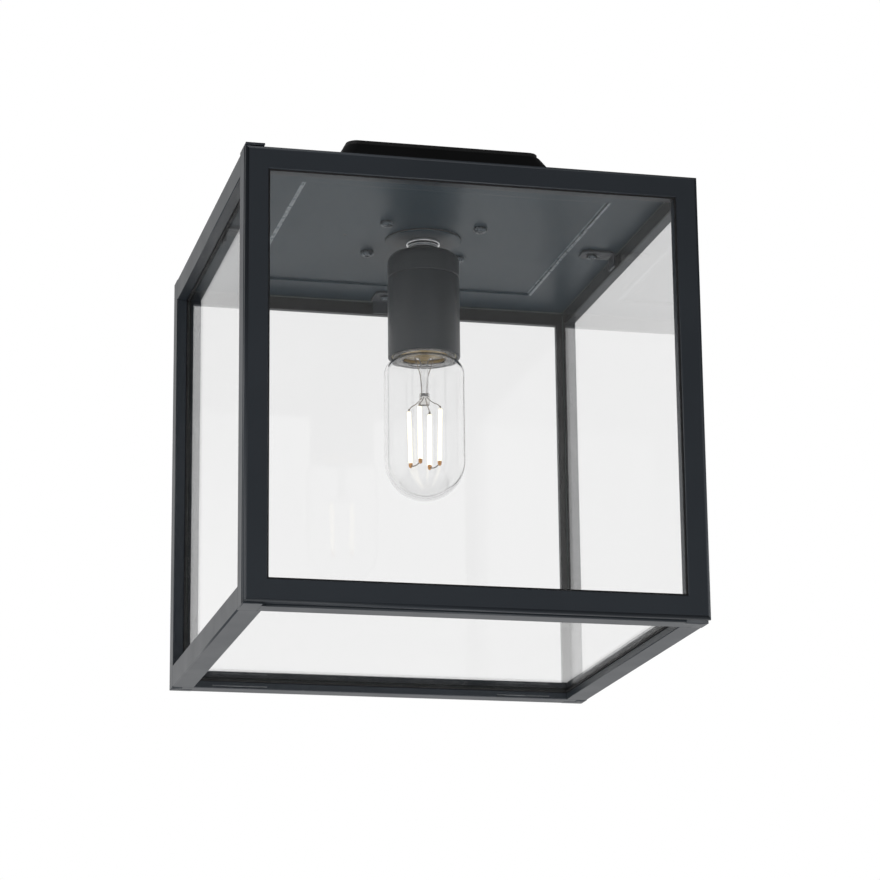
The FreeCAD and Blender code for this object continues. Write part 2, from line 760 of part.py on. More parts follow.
def stem_top():
    """Where the stem is sealed into the neck of the glass, just inside the screw cap."""
    return z_lamp_tip - lamp_tip - lamp_insulator - lamp_cap_length + 2


def bulb_stem():
    """Flared glass stem with a rounded foot."""
    top = stem_top()
    foot = z_rim - stem_length
    flare_r = bulb_neck_r - bulb_wall
    sweep = flare_r - stem_r
    flare = bend(flare_r, top - sweep, sweep, 90, 180, 3)
    return facetted([(0, top)] + flare + [(stem_r, foot + stem_r), (stem_r / 2, foot), (0, foot)], glass_sides)


def filament_ends():
    top = z_rim - filament_top
    low = top - filament_length
    for i in range(4):
        a = math.radians(filament_turn + 90 * i)
        upper = V(filament_ring_top * math.cos(a), filament_ring_top * math.sin(a), top)
        lower = V(filament_ring_bottom * math.cos(a), filament_ring_bottom * math.sin(a), low)
        yield upper, lower


def bulb_filaments():
    return Part.makeCompound([strut(lower, upper, filament_width) for upper, lower in filament_ends()])


def bulb_wires():
    """Arms from the stem out over the filaments, and two bars that join their lower ends in pairs."""
    ends = list(filament_ends())
    clear = UP * support_width
    pieces = []
    for upper, lower in ends:
        outwards = V(upper.x, upper.y, 0).normalize()
        start = outwards * (stem_r + support_width / 4) + UP * (z_rim - stem_length + 2 * stem_r)
        pieces.append(strut(start, upper + clear, support_width))
    for first, second in ((0, 1), (2, 3)):
        pieces.append(strut(ends[first][1] - clear, ends[second][1] - clear, support_width))
    return Part.makeCompound(pieces)


def lamp_cap():
    """Shell of the screw cap, plain on the outside at the thread's crest radius."""
    top = z_lamp_tip - lamp_tip - lamp_insulator
    low = top - lamp_cap_length
    r, w = lamp_cap_r, lamp_cap_wall
    shoulder = r - lamp_insulator_r
    return turned([(lamp_insulator_r, top), (r, top - shoulder), (r, low), (r - w, low),
                   (r - w, top - shoulder), (lamp_insulator_r, top - shoulder)])


def lamp_tip_part():
    """Insulator cone with the contact button on top."""
    top = z_lamp_tip
    shoulder = top - lamp_tip
    foot = shoulder - lamp_insulator
    return turned([(0, top), (lamp_tip_r, top), (lamp_tip_r, shoulder), (lamp_insulator_r, foot),
                   (lamp_insulator_r, foot - lamp_tip), (0, foot - lamp_tip)])


def lamp():
    return {
        "bulb_glass": bulb_glass(),
        "bulb_stem": bulb_stem(),
        "bulb_filaments": bulb_filaments(),
        "bulb_wires": bulb_wires(),
        "bulb_cap": lamp_cap(),
        "bulb_contact": lamp_tip_part(),
    }


def main():
    os.makedirs("parts", exist_ok=True)
    groups = [posts(), top_rails(), bottom_rails(), glazing(), pivots(), door(),
              {"door_magnets": door_magnets()}, clips(), ceiling_parts(), lampholder(), lamp()]
    count = 0
    for group in groups:
        for name, shape in group.items():
            for solid in shape.Solids:
                assert solid.isValid() and solid.Volume > 0, name
            shape.exportStep("parts/" + name + ".step")
            count += 1
            box = shape.BoundBox
            print("%-20s %2d solid(s) %10.1f mm3  z %.1f to %.1f" %
                  (name, len(shape.Solids), shape.Volume, box.ZMin, box.ZMax))
    print(count, "nodes")


main()
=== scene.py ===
import math

import bmesh
import bpy
from mathutils import Matrix, Vector


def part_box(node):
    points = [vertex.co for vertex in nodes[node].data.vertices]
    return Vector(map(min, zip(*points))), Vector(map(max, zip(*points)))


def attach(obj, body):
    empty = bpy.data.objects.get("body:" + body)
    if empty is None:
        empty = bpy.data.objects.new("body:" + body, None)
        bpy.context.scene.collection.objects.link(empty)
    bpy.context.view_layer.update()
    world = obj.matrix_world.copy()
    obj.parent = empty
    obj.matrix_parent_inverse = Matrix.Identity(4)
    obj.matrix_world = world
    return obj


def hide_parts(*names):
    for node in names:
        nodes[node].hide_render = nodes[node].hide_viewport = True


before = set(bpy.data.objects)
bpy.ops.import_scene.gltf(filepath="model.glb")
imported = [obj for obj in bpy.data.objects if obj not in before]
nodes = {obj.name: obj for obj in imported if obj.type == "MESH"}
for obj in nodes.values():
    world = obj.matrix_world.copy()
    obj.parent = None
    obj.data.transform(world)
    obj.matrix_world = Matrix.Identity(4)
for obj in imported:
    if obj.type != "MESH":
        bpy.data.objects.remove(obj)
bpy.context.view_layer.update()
scene = bpy.context.scene
mm = 0.001  # shapes are drawn in millimetres and scaled when they are placed
print("frame loaded,", len(nodes), "nodes")


# materials: colours are written as they show, 0 to 255

def tone(red, green, blue):
    parts = [c / 255 for c in (red, green, blue)]
    return [c / 12.92 if c < 0.04045 else ((c + 0.055) / 1.055) ** 2.4 for c in parts] + [1.0]


def grain(tree, size, detail=3.0):
    # noise whose features are about size millimetres across
    place = tree.nodes.new("ShaderNodeTexCoord")
    noise = tree.nodes.new("ShaderNodeTexNoise")
    noise.inputs["Scale"].default_value = 1000.0 / size
    noise.inputs["Detail"].default_value = detail
    tree.links.new(place.outputs["Object"], noise.inputs["Vector"])
    return noise.outputs["Fac"]


def spread(tree, source, low, high, start=0.35, end=0.65):
    ranged = tree.nodes.new("ShaderNodeMapRange")
    for socket, value in (("From Min", start), ("From Max", end), ("To Min", low), ("To Max", high)):
        ranged.inputs[socket].default_value = value
    tree.links.new(source, ranged.inputs["Value"])
    return ranged.outputs["Result"]


def shades(tree, source, first, second):
    ramp = tree.nodes.new("ShaderNodeValToRGB")
    ramp.color_ramp.elements[0].position, ramp.color_ramp.elements[1].position = 0.35, 0.65
    ramp.color_ramp.elements[0].color, ramp.color_ramp.elements[1].color = first, second
    tree.links.new(source, ramp.inputs["Fac"])
    return ramp.outputs["Color"]


def bumpy(tree, shader, source, strength, depth):
    bump = tree.nodes.new("ShaderNodeBump")
    bump.inputs["Strength"].default_value = strength
    bump.inputs["Distance"].default_value = depth * mm
    tree.links.new(source, bump.inputs["Height"])
    tree.links.new(bump.outputs["Normal"], shader.inputs["Normal"])


def mathNode(tree, operation, first, second):
    node = tree.nodes.new("ShaderNodeMath")
    node.operation = operation
    for socket, value in zip(node.inputs, (first, second)):
        if isinstance(value, (int, float)):
            socket.default_value = value
        else:
            tree.links.new(value, socket)
    return node.outputs["Value"]


def mixedBy(tree, share, first, second):
    mix = tree.nodes.new("ShaderNodeMixShader")
    tree.links.new(share, mix.inputs["Fac"])
    tree.links.new(first, mix.inputs[1])
    tree.links.new(second, mix.inputs[2])
    tree.links.new(mix.outputs["Shader"], tree.nodes["Material Output"].inputs["Surface"])


def newMaterial(name):
    material = bpy.data.materials.new(name)
    material.use_nodes = True
    return material, material.node_tree, material.node_tree.nodes["Principled BSDF"]


def surface(name, look):
    material, tree, shader = newMaterial(name)
    shader.inputs["Metallic"].default_value = look.get("metallic", 0.0)
    shader.inputs["IOR"].default_value = look.get("ior", 1.5)
    if "emission" in look:
        shader.inputs["Emission Color"].default_value = look["emission"]
        shader.inputs["Emission Strength"].default_value = look["glow"]
    patches = grain(tree, look["patch"], 4.0)
    tree.links.new(shades(tree, patches, look["colour"], look["second"]), shader.inputs["Base Color"])
    wear = grain(tree, look["patch"] * 0.4)
    tree.links.new(spread(tree, wear, *look["roughness"]), shader.inputs["Roughness"])
    bumpy(tree, shader, grain(tree, look["grain"], 2.0), look["bump"], look["depth"])
    return material


def clearGlass(name, look):
    # shadow and diffuse rays pass straight through, so that the lamp and the inside stay lit
    material, tree, shader = newMaterial(name)
    shader.inputs["Transmission Weight"].default_value = 1.0
    shader.inputs["Roughness"].default_value = look["roughness"]
    shader.inputs["IOR"].default_value = look["ior"]
    tree.links.new(shades(tree, grain(tree, look["patch"], 2.0), look["tint"], look["second"]),
                   shader.inputs["Base Color"])
    bumpy(tree, shader, grain(tree, look["patch"], 1.0), look["bump"], look["depth"])
    path = tree.nodes.new("ShaderNodeLightPath")
    either = mathNode(tree, "MAXIMUM", path.outputs["Is Shadow Ray"], path.outputs["Is Diffuse Ray"])
    through = tree.nodes.new("ShaderNodeBsdfTransparent")
    through.inputs["Color"].default_value = look["shadow"]
    mixedBy(tree, either, shader.outputs["BSDF"], through.outputs["BSDF"])
    return material


cagePaint = surface("cagePaint", {
    "colour": tone(48, 53, 59), "second": tone(51, 56, 62), "patch": 60, "grain": 1.2, "ior": 1.4,
    "roughness": (0.4, 0.44), "bump": 0.08, "depth": 0.04})
roofPaint = surface("roofPaint", {
    "colour": tone(34, 53, 64), "second": tone(36, 55, 66), "patch": 90, "grain": 3.0, "ior": 1.26,
    "roughness": (0.36, 0.39), "bump": 0.03, "depth": 0.05})
# paler paint for the roof's side creases: a painted highlight along the bends
creaseHighlightPaint = surface("roofCreaseHighlight", {
    "colour": tone(104, 116, 124), "second": tone(124, 136, 144), "patch": 8, "grain": 1.5,
    "roughness": (0.24, 0.34), "bump": 0.05, "depth": 0.03})
# near black, darker than the cage paint: the hood's paint with painted shade, as light from above does
# not reach it
canopyPaintAndShade = surface("canopyPaintAndShade", {
    "colour": tone(15, 16, 17), "second": tone(19, 20, 21), "patch": 40, "grain": 0.6, "ior": 1.25,
    "roughness": (0.55, 0.65), "bump": 0.3, "depth": 0.05})
# black seal finish, also laid on the holder disc's rim as painted shade
rubberAndRimShade = surface("beddingRubberAndRimShade", {
    "colour": tone(20, 20, 21), "second": tone(28, 28, 29), "patch": 6, "grain": 0.4,
    "roughness": (0.6, 0.8), "bump": 0.4, "depth": 0.06})
mouldedBlack = surface("mouldedBlack", {
    "colour": tone(40, 46, 51), "second": tone(43, 49, 54), "patch": 24, "grain": 1.4, "ior": 1.45,
    "roughness": (0.36, 0.4), "bump": 0.06, "depth": 0.03})
brightPlate = surface("brightPlate", {
    "colour": tone(208, 210, 212), "second": tone(226, 227, 228), "patch": 8, "grain": 0.3,
    "metallic": 1.0, "roughness": (0.08, 0.16), "bump": 0.05, "depth": 0.02})
zincSteel = surface("zincSteel", {
    "colour": tone(168, 171, 172), "second": tone(190, 192, 191), "patch": 5, "grain": 0.4,
    "metallic": 1.0, "roughness": (0.26, 0.4), "bump": 0.18, "depth": 0.03})
blackenedSteel = surface("blackenedSteel", {
    "colour": tone(66, 74, 80), "second": tone(84, 92, 98), "patch": 4, "grain": 0.4,
    "metallic": 0.7, "roughness": (0.24, 0.36), "bump": 0.15, "depth": 0.03})
springSteel = surface("springSteel", {
    "colour": tone(98, 101, 104), "second": tone(116, 119, 122), "patch": 5, "grain": 0.4,
    "metallic": 1.0, "roughness": (0.34, 0.44), "bump": 0.15, "depth": 0.03})
shellNickel = surface("shellNickel", {
    "colour": tone(58, 56, 53), "second": tone(96, 94, 90), "patch": 2.5, "grain": 0.3,
    "metallic": 0.8, "roughness": (0.16, 0.3), "bump": 0.12, "depth": 0.03})
cement = surface("basingCement", {
    "colour": tone(206, 172, 106), "second": tone(226, 196, 134), "patch": 2.5, "grain": 0.5,
    "roughness": (0.7, 0.9), "bump": 0.6, "depth": 0.15})
brass = surface("threadBrass", {
    "colour": tone(176, 138, 92), "second": tone(198, 160, 112), "patch": 6, "grain": 0.3,
    "metallic": 1.0, "roughness": (0.22, 0.36), "bump": 0.12, "depth": 0.03})
capMetal = surface("capBrass", {
    "colour": tone(186, 156, 100), "second": tone(206, 176, 118), "patch": 4, "grain": 0.3,
    "metallic": 0.55, "roughness": (0.3, 0.42), "bump": 0.1, "depth": 0.02})
cream = surface("creamMoulding", {
    "colour": tone(214, 204, 180), "second": tone(224, 215, 194), "patch": 9, "grain": 0.5,
    "roughness": (0.4, 0.55), "bump": 0.2, "depth": 0.04})
wireCover = surface("wireCover", {
    "colour": tone(88, 62, 44), "second": tone(104, 74, 52), "patch": 5, "grain": 0.6,
    "roughness": (0.4, 0.55), "bump": 0.2, "depth": 0.05})
thinWire = surface("thinWire", {
    "colour": tone(120, 108, 96), "second": tone(150, 138, 124), "patch": 3, "grain": 0.3,
    "metallic": 1.0, "roughness": (0.3, 0.45), "bump": 0.1, "depth": 0.02})
# pale cream strips with an emission: a painted glow, the lamp is not lit
paintedGlowStrip = surface("stripPaintedGlow", {
    "colour": tone(244, 236, 206), "second": tone(250, 244, 222), "patch": 1.5, "grain": 0.5,
    "emission": tone(255, 246, 220), "glow": 1.35, "roughness": (0.5, 0.7), "bump": 0.4, "depth": 0.06})
# orange joints with a faint painted glow from the emission
goldJoint = surface("goldJoint", {
    "colour": tone(214, 140, 48), "second": tone(232, 166, 74), "patch": 2, "grain": 0.4,
    "emission": tone(230, 150, 60), "glow": 0.12, "roughness": (0.25, 0.4), "bump": 0.2, "depth": 0.04})
blackGlass = surface("capInsulator", {
    "colour": tone(22, 22, 26), "second": tone(30, 30, 34), "patch": 4, "grain": 0.5,
    "roughness": (0.12, 0.2), "bump": 0.1, "depth": 0.03})
groundEdge = surface("groundGlassEdge", {
    "colour": tone(58, 68, 66), "second": tone(72, 82, 80), "patch": 5, "grain": 0.5,
    "roughness": (0.35, 0.5), "bump": 0.3, "depth": 0.05})
paneGlass = clearGlass("paneGlass", {
    "tint": tone(248, 248, 248), "second": tone(249, 249, 249), "shadow": tone(247, 248, 248),
    "roughness": 0.0, "ior": 1.38, "patch": 120, "bump": 0.015, "depth": 1.0})
blownGlass = clearGlass("blownGlass", {
    "tint": tone(252, 252, 252), "second": tone(253, 253, 253), "shadow": tone(251, 251, 251),
    "roughness": 0.0, "ior": 1.48, "patch": 18, "bump": 0.03, "depth": 0.5})
pressGlass = clearGlass("pressGlass", {
    "tint": tone(232, 230, 226), "second": tone(240, 238, 234), "shadow": tone(236, 235, 232),
    "roughness": 0.12, "ior": 1.46, "patch": 2.5, "bump": 0.3, "depth": 0.3})
print("materials made")


# shapes

def cornersOf(node):
    low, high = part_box(node)
    return low / mm, high / mm


def heights(node):
    low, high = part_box(node)
    return high.z / mm, low.z / mm


def rounded(bm, geom, offset, segments, affect="EDGES"):
    return bmesh.ops.bevel(bm, geom=geom, offset=offset, offset_type="OFFSET", segments=segments,
                           profile=0.5, affect=affect, material=-1)["faces"]


def placePiece(bm, name, body, finishes, stands=(), flats=False, sharp=38):
    bmesh.ops.scale(bm, vec=(mm, mm, mm), verts=bm.verts)
    mesh = bpy.data.meshes.new(name)
    bm.to_mesh(mesh)
    bm.free()
    for finish in finishes:
        mesh.materials.append(finish)
    piece = bpy.data.objects.new(name, mesh)
    scene.collection.objects.link(piece)
    if not flats:
        mesh.shade_smooth()
        mesh.set_sharp_from_angle(angle=math.radians(sharp))
    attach(piece, body)
    if stands:
        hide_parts(*stands)
    return piece


def joined(parts):
    # one mesh of several finished shapes
    whole = bmesh.new()
    for part in parts:
        mesh = bpy.data.meshes.new("part")
        part.to_mesh(mesh)
        part.free()
        whole.from_mesh(mesh)
        bpy.data.meshes.remove(mesh)
    return whole


def turnedShape(profile, closed=False, steps=72, segments=6):
    # profile of (radius, height) or (radius, height, rounding) about the upright axis
    bm = bmesh.new()
    points = [bm.verts.new((p[0], 0, p[1])) for p in profile]
    for pair in zip(points, points[1:]):
        bm.edges.new(pair)
    if closed:
        bm.edges.new((points[-1], points[0]))
    for point, spec in zip(points, profile):
        if len(spec) > 2:
            rounded(bm, [point], spec[2], segments, "VERTICES")
    bmesh.ops.spin(bm, geom=bm.verts[:] + bm.edges[:], cent=(0, 0, 0), axis=(0, 0, 1),
                   dvec=(0, 0, 0), angle=math.tau, steps=steps, use_merge=True, use_duplicate=False)
    bmesh.ops.remove_doubles(bm, verts=bm.verts, dist=0.001)
    bmesh.ops.recalc_face_normals(bm, faces=bm.faces)
    return bm


def helix(radius, bead, top, turns, pitch, steps=48):
    bm = bmesh.new()
    stand = Matrix.Translation((radius, 0, top)) @ Matrix.Rotation(math.pi / 2, 4, "X")
    bmesh.ops.create_circle(bm, cap_ends=True, segments=10, radius=bead, matrix=stand)
    bmesh.ops.spin(bm, geom=bm.verts[:] + bm.edges[:] + bm.faces[:], cent=(0, 0, 0),
                   axis=(0, 0, 1), dvec=(0, 0, -pitch / steps), angle=math.tau * turns,
                   steps=round(steps * turns))
    bmesh.ops.recalc_face_normals(bm, faces=bm.faces)
    return bm


def boxShape(low, high, edge=0.0, segments=2):
    bm = bmesh.new()
    bmesh.ops.create_cube(bm, size=1.0)
    size = [b - a for a, b in zip(low, high)]
    bmesh.ops.scale(bm, vec=size, verts=bm.verts)
    bmesh.ops.translate(bm, vec=[(a + b) / 2 for a, b in zip(low, high)], verts=bm.verts)
    if edge:
        for face in rounded(bm, bm.edges[:], edge, segments):
            face.smooth = segments > 1
    return bm


def barBetween(start, end, width, thick, edge, facing):
    # rounded strip from point to point, its broad side towards facing
    start, end = Vector(start), Vector(end)
    along = (end - start).normalized()
    across = along.cross(Vector(facing)).normalized()
    out = across.cross(along)
    turn = Matrix((across, out, along)).transposed().to_4x4()
    bm = boxShape((-width / 2, -thick / 2, 0), (width / 2, thick / 2, (end - start).length),
                  edge, 3)
    bmesh.ops.transform(bm, matrix=Matrix.Translation(start) @ turn, verts=bm.verts)
    return bm


def roundWire(points, radius):
    # smooth round wire through a few control points
    curve = bpy.data.curves.new("wire", "CURVE")
    curve.dimensions = "3D"
    curve.bevel_depth, curve.bevel_resolution, curve.use_fill_caps = radius, 3, True
    spline = curve.splines.new("NURBS")
    spline.points.add(len(points) - 1)
    for knot, point in zip(spline.points, points):
        knot.co = (*point, 1)
    spline.order_u, spline.use_endpoint_u, spline.resolution_u = 3, True, 6
    holder = bpy.data.objects.new("wire", curve)
    mesh = bpy.data.meshes.new_from_object(holder)
    bm = bmesh.new()
    bm.from_mesh(mesh)
    bpy.data.objects.remove(holder)
    bpy.data.curves.remove(curve)
    bpy.data.meshes.remove(mesh)
    return bm


def dressNode(node, body, finish, edge, longest=20.0):
    # CAD bar with its long edges softened
    bm = bmesh.new()
    bm.from_mesh(nodes[node].data)
    bmesh.ops.scale(bm, vec=(1 / mm,) * 3, verts=bm.verts)
    bmesh.ops.remove_doubles(bm, verts=bm.verts, dist=0.001)
    bmesh.ops.dissolve_limit(bm, angle_limit=math.radians(1), verts=bm.verts, edges=bm.edges)
    chosen = [e for e in bm.edges if len(e.link_faces) == 2 and e.calc_length() > longest
              and e.calc_face_angle() > math.radians(50)]
    for face in bm.faces:
        face.smooth = min(e.calc_length() for e in face.edges) < 0.6
    for face in rounded(bm, chosen, edge, 2):
        face.smooth = True
    return placePiece(bm, node + "_dressed", body, [finish], [node], flats=True)


def paintNode(node, finish):
    # CAD node kept as it is, with its own finish
    mesh = nodes[node].data
    mesh.materials.clear()
    mesh.materials.append(finish)


# cage: twelve bars, pivot plates, bedding strips and springs

cageLook = {"edge": 0.35, "plateEdge": 0.25, "springEdge": 0.2}


def makeCage():
    corners = ("front_left", "front_right", "back_left", "back_right")
    sides = ("front", "back", "left", "right")
    bars = ["post_" + corner for corner in corners]
    bars += [kind + side for kind in ("top_rail_", "bottom_rail_") for side in sides]
    for node in bars:
        dressNode(node, "cage", cagePaint, cageLook["edge"])
    for node in ("pivot_plate_top", "pivot_plate_bottom"):
        dressNode(node, "cage", cagePaint, cageLook["plateEdge"], 8.0)
    dressNode("floor_springs", "cage", springSteel, cageLook["springEdge"], 4.0)
    for node in ("seal_left", "seal_right", "seal_back", "seal_floor", "door_seal", "ceiling_gasket",
                 "cable_grommet"):
        paintNode(node, rubberAndRimShade)
    print("cage dressed")


# panes: polished faces, ground arrises and edges

paneLook = {"arris": 0.35}


def makePanes():
    for node, thin, body in (("pane_left", 0, "cage"), ("pane_right", 0, "cage"),
                             ("pane_back", 1, "cage"), ("pane_floor", 2, "cage"),
                             ("door_pane", 1, "door")):
        bm = boxShape(*cornersOf(node), paneLook["arris"], 1)
        for face in bm.faces:
            face.material_index = 0 if abs(face.normal[thin]) > 0.99 else 1
        placePiece(bm, node + "_slab", body, [paneGlass, groundEdge], [node], flats=True)
    print("panes made")


# door frame: four mitred bars with rolled outer edges and a rebate behind

doorLook = {"face": 12.0, "thick": 4.4, "roll": 1.8, "lip": 1.0, "lap": 6.0, "innerEdge": 0.4,
            "lipEdge": 0.2, "rebateEdge": 0.1, "smoothUnder": 0.9}


def doorBar(length):
    # section drawn at the origin: outer edge at v = 0, face at depth 0, drawn along +X
    look = doorLook
    bm = bmesh.new()
    wide, lip, thick = look["face"], look["lip"], look["thick"]
    rebate = wide - look["lap"]
    outline = [(0, 0, look["roll"]), (wide, 0, look["innerEdge"]), (wide, lip, look["lipEdge"]),
               (rebate, lip, look["rebateEdge"]), (rebate, thick, look["lipEdge"]),
               (0, thick, look["roll"])]
    points = [bm.verts.new((-length / 2, depth, v)) for v, depth, r in outline]
    for pair in zip(points, points[1:] + points[:1]):
        bm.edges.new(pair)
    for point, (v, depth, r) in zip(points, outline):
        rounded(bm, [point], r, 8 if r > 1 else 3, "VERTICES")
    face = bmesh.ops.contextual_create(bm, geom=bm.edges[:])["faces"]
    grown = bmesh.ops.extrude_face_region(bm, geom=face)
    ends = [g for g in grown["geom"] if isinstance(g, bmesh.types.BMVert)]
    bmesh.ops.translate(bm, vec=(length, 0, 0), verts=ends)
    bmesh.ops.recalc_face_normals(bm, faces=bm.faces)
    for side in (-1, 1):  # mitres at 45 degrees
        cut = bmesh.ops.bisect_plane(bm, geom=bm.verts[:] + bm.edges[:] + bm.faces[:], dist=1e-5,
                                     plane_co=(side * length / 2, 0, 0), plane_no=(side, 0, 1),
                                     clear_outer=True)
        rim = [g for g in cut["geom_cut"] if isinstance(g, bmesh.types.BMEdge)]
        bmesh.ops.contextual_create(bm, geom=rim)
    for face in bm.faces:
        box = [max(v.co[i] for v in face.verts) - min(v.co[i] for v in face.verts) for i in (1, 2)]
        face.smooth = max(box) < look["smoothUnder"]
    bmesh.ops.recalc_face_normals(bm, faces=bm.faces)
    return bm


def makeDoor():
    low, high = cornersOf("door_stile_left")[0], cornersOf("door_stile_right")[1]
    middle = (low + high) / 2
    wide, tall = high.x - low.x, high.z - low.z
    for node, turn, length in (("door_rail_bottom", 0, wide), ("door_stile_right", -90, tall),
                               ("door_rail_top", 180, wide), ("door_stile_left", 90, tall)):
        bm = doorBar(length)
        reach = tall / 2 if abs(turn) != 90 else wide / 2
        bmesh.ops.translate(bm, vec=(0, 0, -reach), verts=bm.verts)
        bmesh.ops.rotate(bm, cent=(0, 0, 0), matrix=Matrix.Rotation(math.radians(turn), 3, "Y"),
                         verts=bm.verts)
        bmesh.ops.translate(bm, vec=(middle.x, low.y, middle.z), verts=bm.verts)
        placePiece(bm, node + "_rolled", "door", [cagePaint], [node], flats=True)
    paintNode("door_strikes", zincSteel)
    paintNode("door_magnets", zincSteel)
    print("door made")


# roof plate, its screws and the pane clips

roofLook = {"square": 83.0, "step": 1.6, "rise": 1.0, "bend": 2.0, "sheet": 1.5, "softStep": 0.8,
            "rimInset": 20.0, "middleArea": 20000.0, "creaseAt": 82.2, "creaseHalf": 1.6,
            "creaseEnd": 81.0, "flatArea": 700.0}


def climb(edge):
    return abs(edge.verts[0].co.z - edge.verts[1].co.z)


def makeRoof():
    look = roofLook
    square = look["square"]
    low, high = cornersOf("roof_plate")
    bm = boxShape(low, (high.x, high.y, high.z - 0.5))
    bmesh.ops.delete(bm, geom=[f for f in bm.faces if f.normal.z > 0.5], context="FACES")
    under = [f for f in bm.faces if f.normal.z < -0.5]
    bmesh.ops.inset_region(bm, faces=under, thickness=look["rimInset"])
    middle = [f for f in bm.faces if f.normal.z < -0.5 and f.calc_area() > look["middleArea"]
              and all(len(v.link_edges) == 3 for v in f.verts)][:1]
    for vert in middle[0].verts:
        vert.co.x = math.copysign(square, vert.co.x)
        vert.co.y = math.copysign(square, vert.co.y)
    bmesh.ops.inset_region(bm, faces=middle, thickness=look["step"])
    for vert in middle[0].verts:
        vert.co.z += look["rise"]
    soft = [e for e in bm.edges if climb(e) < 0.1
            and all(max(abs(v.co.x), abs(v.co.y)) < square + 1 for v in e.verts)]
    rounded(bm, soft, look["softStep"], 3)
    rim = [e for e in bm.edges if all(v.co.z < low.z + 0.01 for v in e.verts)
           and len(e.link_faces) == 2 and any(abs(f.normal.z) < 0.1 for f in e.link_faces)]
    rim += [e for e in bm.edges if len(e.link_faces) == 2 and climb(e) > 3]
    rounded(bm, rim, look["bend"], 6)
    bmesh.ops.recalc_face_normals(bm, faces=bm.faces)
    if max(bm.faces, key=lambda f: f.calc_area()).normal.z > 0:
        bmesh.ops.reverse_faces(bm, faces=bm.faces)
    for face in bm.faces:  # the two side creases get a paler finish, a painted highlight along the bends
        face.smooth = face.calc_area() < look["flatArea"]
        centre = face.calc_center_median()
        paintedHighlight = (abs(abs(centre.x) - look["creaseAt"]) < look["creaseHalf"]
                and abs(centre.y) < look["creaseEnd"])
        face.material_index = 1 if paintedHighlight else 0
    roof = placePiece(bm, "roofPressing", "cage", [roofPaint, creaseHighlightPaint],
                      ["roof_plate"], flats=True)
    wall = roof.modifiers.new("wall", "SOLIDIFY")
    wall.thickness, wall.offset = look["sheet"] * mm, -1


def crossHead(radius, height, under, arm=1.75, slotHalf=0.45, depth=1.3):
    # pan head hanging below the height under, with a cross recess in its face
    bm = turnedShape([(0, under), (radius, under, 0.2), (radius, under - height, height * 0.7),
                      (arm + 0.35, under - height)], steps=32, segments=4)
    a, b, z = arm, slotHalf, under - height
    outline = [(a, -b), (a, b), (b, b), (b, a), (-b, a), (-b, b), (-a, b), (-a, -b), (-b, -b), (-b, -a),
               (b, -a), (b, -b)]
    rim = [e for e in bm.edges if e.is_boundary]
    points = [bm.verts.new((x, y, z)) for x, y in outline]
    cross = [bm.edges.new(pair) for pair in zip(points, points[1:] + points[:1])]
    bmesh.ops.bridge_loops(bm, edges=rim + cross)
    grown = bmesh.ops.extrude_edge_only(bm, edges=cross)["geom"]
    deep = [g for g in grown if isinstance(g, bmesh.types.BMVert)]
    bmesh.ops.translate(bm, vec=(0, 0, depth), verts=deep)
    bmesh.ops.scale(bm, vec=(0.7, 0.7, 1), verts=deep)
    bmesh.ops.contextual_create(bm, geom=[g for g in grown if isinstance(g, bmesh.types.BMEdge)
                                          and all(v in deep for v in g.verts)])
    bmesh.ops.recalc_face_normals(bm, faces=bm.faces)
    return bm


screwLook = {"roofHead": 3.7, "roofHeight": 2.6, "roofShank": 1.95, "clipHead": 2.8,
             "clipHeight": 1.8, "clipShank": 1.45, "clipAt": 97.0, "clipCross": (1.35, 0.38, 1.0)}


def screwSet(name, places, head, shank, node):
    radius, top, end = shank
    parts = []
    for x, y in places:
        stud = turnedShape([(0, top), (radius, top), (radius, end, 0.3), (0, end)], steps=20)
        for bm in (crossHead(*head), stud):
            bmesh.ops.translate(bm, vec=(x, y, 0), verts=bm.verts)
            parts.append(bm)
    placePiece(joined(parts), name, "cage", [blackenedSteel], [node])


def makeScrews():
    look = screwLook
    low, high = cornersOf("roof_screws")
    pitch, under = high.x - look["roofHead"], low.z + look["roofHeight"]
    places = [(sx * pitch, sy * pitch) for sx in (-1, 1) for sy in (-1, 1)]
    screwSet("roofScrewHeads", places, (look["roofHead"], look["roofHeight"], under),
             (look["roofShank"], under, high.z), "roof_screws")
    low, high = cornersOf("clip_screws")
    under = low.z + look["clipHeight"]
    places = [(-look["clipAt"], 0), (look["clipAt"], 0), (0, high.y - look["clipHead"])]
    screwSet("clipScrewHeads", places, (look["clipHead"], look["clipHeight"], under, *look["clipCross"]),
             (look["clipShank"], under, high.z), "clip_screws")
    for node, body in (("clip_left", "left_clip"), ("clip_right", "right_clip"),
                       ("clip_back", "back_clip")):
        dressNode(node, body, cagePaint, 0.15, 2.0)
    print("roof, screws and clips made")


# canopy: drawn hood with a flange on the roof and a lip at the ceiling

canopyLook = {"base": 73.0, "top": 54.0, "flange": 80.5, "hip": 6.0, "wall": 1.2,
              "lip": 8.0, "fold": 1.0, "flatArea": 500.0}


